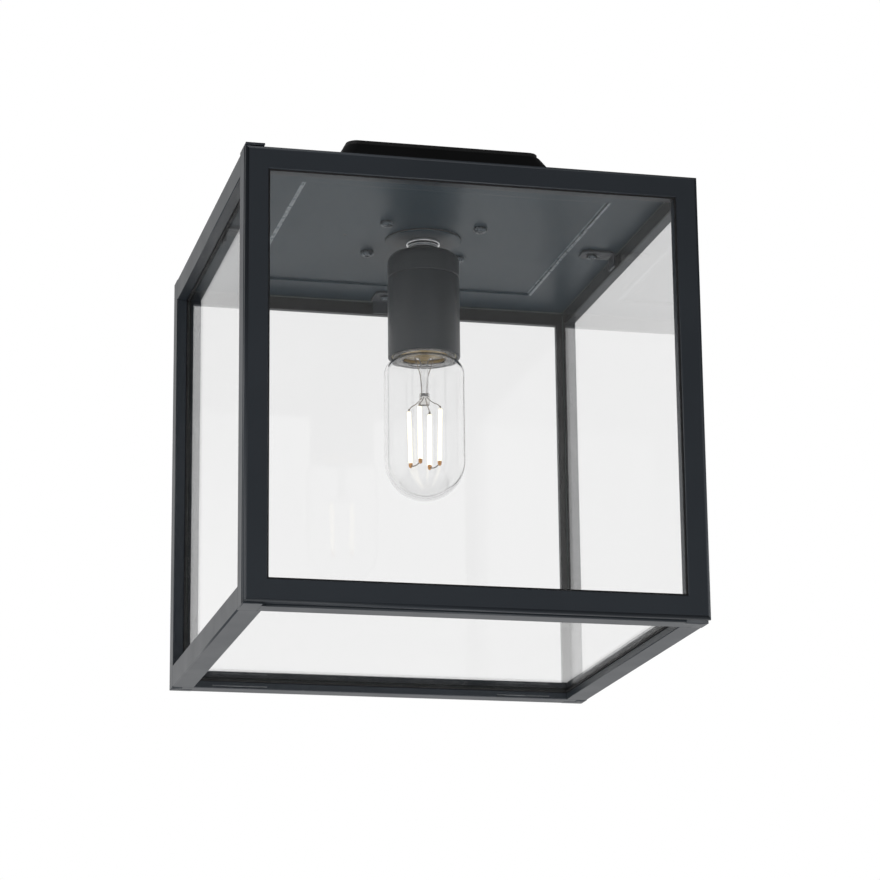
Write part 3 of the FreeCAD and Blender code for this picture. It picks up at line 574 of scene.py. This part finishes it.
def makeCanopy():
    look = canopyLook
    low, high = cornersOf("canopy")
    lean = (look["base"] - look["top"]) / (high.z - low.z)
    foot = low.z + look["wall"]
    bm = boxShape((-1, -1, foot), (1, 1, high.z))
    for vert in bm.verts:
        half = look["top"] if vert.co.z > foot + 1 else look["base"] - lean * look["wall"]
        vert.co.x, vert.co.y = vert.co.x * half, vert.co.y * half
    rounded(bm, [e for e in bm.edges if climb(e) > 5], look["hip"], 8)
    bmesh.ops.delete(bm, geom=[f for f in bm.faces if f.normal.z < -0.9], context="FACES")
    crown = [f for f in bm.faces if f.normal.z > 0.9]
    bmesh.ops.inset_region(bm, faces=crown, thickness=look["lip"])
    bmesh.ops.delete(bm, geom=crown, context="FACES")
    rim = [e for e in bm.edges if e.is_boundary and e.verts[0].co.z < foot + 1]
    grown = bmesh.ops.extrude_edge_only(bm, edges=rim)["geom"]
    outer = [g for g in grown if isinstance(g, bmesh.types.BMVert)]
    share = look["flange"] / (look["base"] - lean * look["wall"])
    bmesh.ops.scale(bm, vec=(share, share, 1), verts=outer)
    folds = [e for e in bm.edges if len(e.link_faces) == 2
             and e.calc_face_angle() > math.radians(35) and climb(e) < 0.1]
    rounded(bm, folds, look["fold"], 4)
    bmesh.ops.recalc_face_normals(bm, faces=bm.faces)
    if max(bm.faces, key=lambda f: f.calc_center_median().z).normal.z < 0:
        bmesh.ops.reverse_faces(bm, faces=bm.faces)
    for face in bm.faces:
        face.smooth = face.calc_area() < look["flatArea"]
    hood = placePiece(bm, "canopyHood", "cage", [canopyPaintAndShade], ["canopy"], flats=True)
    wall = hood.modifiers.new("wall", "SOLIDIFY")
    wall.thickness, wall.offset = look["wall"] * mm, -1
    for node in ("ceiling_bracket", "bracket_standoffs", "nipple_nut", "holder_nipple"):
        paintNode(node, zincSteel)
    paintNode("terminal_block", cream)
    paintNode("holder_insert", cream)
    paintNode("earth_screw", brass)
    paintNode("holder_contacts", brass)
    paintNode("lead_wires", wireCover)
    print("canopy made")


# lampholder on the middle axis

holderLook = {"bore": 5.0, "disc": 21.0, "ring": 9.5, "ringStep": 1.5, "neck": 7.5, "neckHeight": 3.3,
              "well": 6.8, "wellDepth": 6.0, "body": 19.75, "shoulder": 5.5, "wall": 1.8,
              "spigot": 3.0, "spigotIn": 2.05, "insideIn": 3.85, "seam": 0.35, "seamIn": 0.4,
              "shell": 14.3, "shellWall": 0.8, "lipRadius": 17.0, "lip": 0.8, "bead": 0.42,
              "pitch": 3.62, "steps": 96}


def makeHolder():
    look = holderLook
    bore, r, wall, steps = look["bore"], look["body"], look["wall"], look["steps"]
    top, under = heights("holder_disc")
    disc = turnedShape([(bore, top), (look["disc"], top, 0.3), (look["disc"], under, 0.6),
                        (bore, under)], closed=True, steps=steps)
    for face in disc.faces:  # underside painted with the roof, rim given the black seal finish as painted shade
        face.material_index = 1 if abs(face.normal.z) < 0.4 else 0
    placePiece(disc, "holderDisc", "cage", [roofPaint, rubberAndRimShade], ["holder_disc"])
    top, under = heights("ring_nut")
    rim, groove = look["ring"], look["ring"] - look["ringStep"]
    ring = turnedShape([(bore, top), (rim, top, 0.3), (rim, top - 2.1, 0.7), (groove, top - 2.5, 0.3),
                        (groove, under, 0.3), (bore, under)], closed=True, steps=steps)
    placePiece(ring, "ringNut", "cage", [brightPlate], ["ring_nut"])
    neckTop, spigotEnd = heights("holder_cap")
    foot, shoulder = spigotEnd + look["spigot"], neckTop - look["neckHeight"]
    neck, well, wellEnd = look["neck"], look["well"], neckTop - look["wellDepth"]
    spigot, inside, end = r - look["spigotIn"], r - look["insideIn"], foot - look["spigot"]
    cap = turnedShape([(bore, neckTop), (neck, neckTop, 0.4), (neck, shoulder, 0.8),
                       (r, shoulder, look["shoulder"]), (r, foot + look["seam"], 0.2),
                       (r - look["seamIn"], foot, 0.1), (spigot, foot), (spigot, end), (inside, end),
                       (inside, shoulder - wall, 3.0), (well, shoulder - wall), (well, wellEnd),
                       (bore, wellEnd)], closed=True, steps=steps, segments=8)
    placePiece(cap, "holderCap", "cage", [mouldedBlack], ["holder_cap"])
    rim = heights("holder_sleeve")[1]
    sleeve = turnedShape([(r - wall, rim, 0.6), (r, rim, 0.7), (r, foot - look["seam"], 0.2),
                          (r - look["seamIn"], foot, 0.1), (r - wall, foot)], closed=True, steps=steps)
    placePiece(sleeve, "holderSleeve", "cage", [mouldedBlack], ["holder_sleeve"])
    top, lip = heights("thread_shell")
    outer, inner, lipTop = look["shell"], look["shell"] - look["shellWall"], lip + look["lip"]
    rim = look["lipRadius"]
    shell = turnedShape([(inner, top), (outer, top), (outer, lipTop, 0.3), (rim, lipTop, 0.3),
                         (rim, lip, 0.3), (inner, lip, 0.7)], closed=True, steps=steps)
    thread = helix(inner + 0.25, look["bead"], top - 2.5, 6, look["pitch"])
    placePiece(joined([shell, thread]), "threadShell", "cage", [shellNickel],
               ["thread_shell"])
    print("lampholder made")


# lamp: blown tube, stem with its press, leads, four strips with a painted glow and the screw cap

lampLook = {"radius": 22.0, "wall": 0.9, "endWall": 2.2, "neck": 12.3, "shoulder": -104.5,
            "stem": 2.3, "stemWall": 0.5, "press": (2.8, 1.2, 7.0), "pressTurn": -14.0,
            "plug": 11.6, "wire": 0.24, "strip": (2.3, 1.9), "stripEdge": 0.7, "stripTop": -133.5,
            "stripLow": -163.5, "ringTop": 9.0, "ringLow": 8.2, "firstTurn": -31.0, "joint": 1.15,
            "tab": (1.1, 0.45, 0.15), "sag": 3.2, "cap": 12.2, "capLip": 13.0, "capBead": 0.85}


def makeBlownParts():
    look = lampLook
    neckTop, bottom = heights("bulb_glass")
    r, w, neck, shoulder = look["radius"], look["wall"], look["neck"], look["shoulder"]
    floor = bottom + look["endWall"]
    envelope = turnedShape([(0, bottom), (r, bottom, r - 0.01), (r, shoulder, 9.0),
                            (neck, shoulder, 0.6), (neck, neckTop), (neck - w, neckTop),
                            (neck - w, shoulder - w, 1.4), (r - w, shoulder - w, 8.2),
                            (r - w, floor, r - w - 0.01), (0, floor)], steps=96, segments=16)
    placePiece(envelope, "bulbEnvelope", "lamp", [blownGlass], ["bulb_glass"], sharp=60)
    stemTop, foot = heights("bulb_stem")
    s, thin = look["stem"], look["stemWall"]
    stem = turnedShape([(neck - w - 0.1, stemTop), (neck - w - 0.5, stemTop - 1.1, 0.8),
                        (s, stemTop - 3.0, 2.5), (s, foot + 5), (s - thin, foot + 5),
                        (s - thin, stemTop - 2.5, 2.2), (neck - w - 1.0, stemTop - 0.6, 0.5),
                        (neck - w - 0.7, stemTop)], closed=True, steps=48, segments=8)
    placePiece(stem, "bulbStem", "lamp", [blownGlass], ["bulb_stem"], sharp=60)
    wide, deep, tall = look["press"]
    press = boxShape((-wide, -deep, foot), (wide, deep, foot + tall), 0.9, 4)
    turn = Matrix.Rotation(math.radians(look["pressTurn"]), 3, "Z")
    bmesh.ops.rotate(press, cent=(0, 0, 0), matrix=turn, verts=press.verts)
    placePiece(press, "stemPress", "lamp", [pressGlass])
    top, low, r = stemTop + 2.4, stemTop + 0.25, look["plug"]
    plug = turnedShape([(0, top), (r, top, 0.5), (r, low, 0.5), (0, low)], steps=48)
    placePiece(plug, "basingCement", "lamp", [cement])


def stripEnds():
    look = lampLook
    for quarter in range(4):
        turn = math.radians(look["firstTurn"] + 90 * quarter)
        out = Vector((math.cos(turn), math.sin(turn), 0))
        yield (out, out * look["ringTop"] + Vector((0, 0, look["stripTop"])),
               out * look["ringLow"] + Vector((0, 0, look["stripLow"])))


def makeStrips():
    look = lampLook
    stemTop, foot = heights("bulb_stem")
    strips, tabs, joints, wires = [], [], [], []
    for out, upper, lower in stripEnds():
        along = (lower - upper).normalized()
        strips.append(barBetween(upper, lower, *look["strip"], look["stripEdge"], out))
        tabs.append(barBetween(upper - along * 1.6, upper + along * 1.2, *look["tab"], out))
        bead, stand = bmesh.new(), Matrix.Translation(lower + along * 0.6)
        bmesh.ops.create_uvsphere(bead, u_segments=16, v_segments=10, radius=look["joint"],
                                  matrix=stand @ Matrix.Diagonal((1, 1, 1.5, 1)))
        joints.append(bead)
        root = out * 1.4 + Vector((0, 0, foot + 4.5))
        bow = out * (look["ringTop"] * 0.5) + Vector((0, 0, foot + 1.2))
        knee = out * (look["ringTop"] * 0.95) + Vector((0, 0, foot - 0.2))
        wires.append(roundWire([root, bow, knee, upper], look["wire"]))
    ends, drop = [lower for _, _, lower in stripEnds()], Vector((0, 0, -1))
    for first, second in ((0, 1), (2, 3)):
        low = (ends[first] + ends[second]) / 2 + Vector((0, 0, -look["sag"]))
        wires.append(roundWire([ends[first] + drop, low, ends[second] + drop], look["wire"] * 1.3))
    for side in (-1, 1):  # leads from the cap down to the press
        wires.append(roundWire([(side * 5.5, 0, stemTop - 1), (side * 4.2, side * 0.8, -108),
                                (side * 1.4, 0, -116), (side * 1.5, side * 0.3, foot + 6)],
                               look["wire"]))
    placePiece(joined(strips), "stripsWithPaintedGlow", "lamp", [paintedGlowStrip], ["bulb_filaments"],
               flats=True)
    placePiece(joined(joints), "stripJoints", "lamp", [goldJoint])
    placePiece(joined(wires + tabs), "supportWires", "lamp", [thinWire], ["bulb_wires"])


def makeLampCap():
    look = lampLook
    top, rim = heights("bulb_cap")
    r, lip = look["cap"], look["capLip"]
    cap = turnedShape([(10.5, top), (r, top - 2.2, 0.8), (r, rim + 2.4, 0.4), (lip, rim + 1.6, 0.3),
                       (lip, rim, 0.15), (12.4, rim), (11.8, rim + 2.6), (11.8, top - 2.4),
                       (10.4, top - 0.6)], closed=True, steps=72, segments=3)
    thread = helix(r, look["capBead"], top - 3.6, 4, holderLook["pitch"])
    placePiece(joined([cap, thread]), "screwCap", "lamp", [capMetal], ["bulb_cap"])
    top, foot = heights("bulb_contact")
    tip = turnedShape([(0, top), (4.6, top, 0.8), (4.6, top - 1.6), (10.4, top - 5.0, 0.4),
                       (10.4, foot), (0, foot)], steps=48, segments=4)
    for face in tip.faces:
        face.material_index = 1 if face.calc_center_median().z > top - 1.5 else 0
    placePiece(tip, "capTip", "lamp_contact", [blackGlass, brass], ["bulb_contact"])


def makeLamp():
    makeBlownParts()
    makeStrips()
    makeLampCap()
    print("lamp made")


makeCage()
makePanes()
makeDoor()
makeRoof()
makeScrews()
makeCanopy()
makeHolder()
makeLamp()


# floor, light and camera

studioLook = {"floorDrop": -2.1, "floorHalf": 40.0, "floorGlow": 0.86, "above": 0.12, "front": 0.22,
              "back": 1.05, "left": 1.2, "right": 0.8, "glossShare": 0.06, "aim": (0, 0, -0.15)}


def makeFloor():
    look = studioLook
    bpy.ops.mesh.primitive_grid_add(x_subdivisions=8, y_subdivisions=8, size=look["floorHalf"] * 2,
                                    location=(0, 0, look["floorDrop"]))
    floor = bpy.context.object
    floor.name = "paleFloor"
    material, tree, shader = newMaterial("palePlaster")
    shader.inputs["Roughness"].default_value = 0.9
    tree.links.new(shades(tree, grain(tree, 400), tone(196, 196, 194), tone(202, 202, 200)),
                   shader.inputs["Base Color"])
    path = tree.nodes.new("ShaderNodeLightPath")
    glow = tree.nodes.new("ShaderNodeEmission")
    glow.inputs["Color"].default_value = tone(254, 254, 254)
    seen = mathNode(tree, "MAXIMUM", path.outputs["Is Camera Ray"], path.outputs["Is Transmission Ray"])
    seen = mathNode(tree, "MAXIMUM", seen, path.outputs["Is Glossy Ray"])
    share = mathNode(tree, "MULTIPLY", seen, look["floorGlow"])
    mixedBy(tree, share, shader.outputs["BSDF"], glow.outputs["Emission"])
    floor.data.materials.append(material)


def makeSky():
    # white where it is seen, shaded from side to side and front to back where it lights
    look = studioLook
    world = bpy.data.worlds.new("softStudio")
    scene.world = world
    world.use_nodes = True
    tree = world.node_tree
    back = tree.nodes["Background"]
    place = tree.nodes.new("ShaderNodeTexCoord")
    split = tree.nodes.new("ShaderNodeSeparateXYZ")
    tree.links.new(place.outputs["Generated"], split.inputs["Vector"])
    height = spread(tree, split.outputs["Z"], 1.0, look["above"], 0.05, 0.75)
    side = spread(tree, split.outputs["X"], look["left"], look["right"], -0.8, 0.8)
    depth = spread(tree, split.outputs["Y"], look["front"], look["back"], -0.8, 0.5)
    studio = mathNode(tree, "MULTIPLY", mathNode(tree, "MULTIPLY", height, side), depth)
    path = tree.nodes.new("ShaderNodeLightPath")
    seen = mathNode(tree, "MAXIMUM", path.outputs["Is Camera Ray"], path.outputs["Is Transmission Ray"])
    gloss = mathNode(tree, "MULTIPLY", path.outputs["Is Glossy Ray"], look["glossShare"])
    seen = mathNode(tree, "MAXIMUM", seen, gloss)
    dim = mathNode(tree, "MULTIPLY", studio, mathNode(tree, "SUBTRACT", 1.0, seen))
    back.inputs["Color"].default_value = (1, 1, 1, 1)
    tree.links.new(mathNode(tree, "ADD", seen, dim), back.inputs["Strength"])
    print("studio made")


def addLamp(name, place, size, energy):
    light = bpy.data.lights.new(name, "AREA")
    light.shape, light.size, light.energy = "SQUARE", size, energy
    lamp = bpy.data.objects.new(name, light)
    lamp.location = place
    lamp.rotation_euler = (Vector(studioLook["aim"]) - Vector(place)).to_track_quat("-Z", "Y").to_euler()
    lamp.visible_camera = lamp.visible_transmission = False
    scene.collection.objects.link(lamp)


cameraLook = {"lens": 126.08, "matrix": ((0.972591, -0.050244, -0.227028, -0.37159),
                                         (-0.232288, -0.253679, -0.938983, -1.572626),
                                         (-0.010413, 0.965983, -0.258397, -0.582244),
                                         (0.0, 0.0, 0.0, 1.0))}


def makeCamera():
    data = bpy.data.cameras.new("photoCamera")
    data.lens, data.sensor_width = cameraLook["lens"], 36.0
    camera = bpy.data.objects.new("photoCamera", data)
    camera.matrix_world = Matrix(cameraLook["matrix"])
    scene.collection.objects.link(camera)
    scene.camera = camera
    scene.view_settings.view_transform = "Standard"


makeFloor()
makeSky()
addLamp("leftSoftbox", (-1.7, -1.0, 0.1), 1.3, 14.0)
addLamp("lowSoftbox", (0.3, -0.9, -1.6), 1.2, 14.0)
makeCamera()
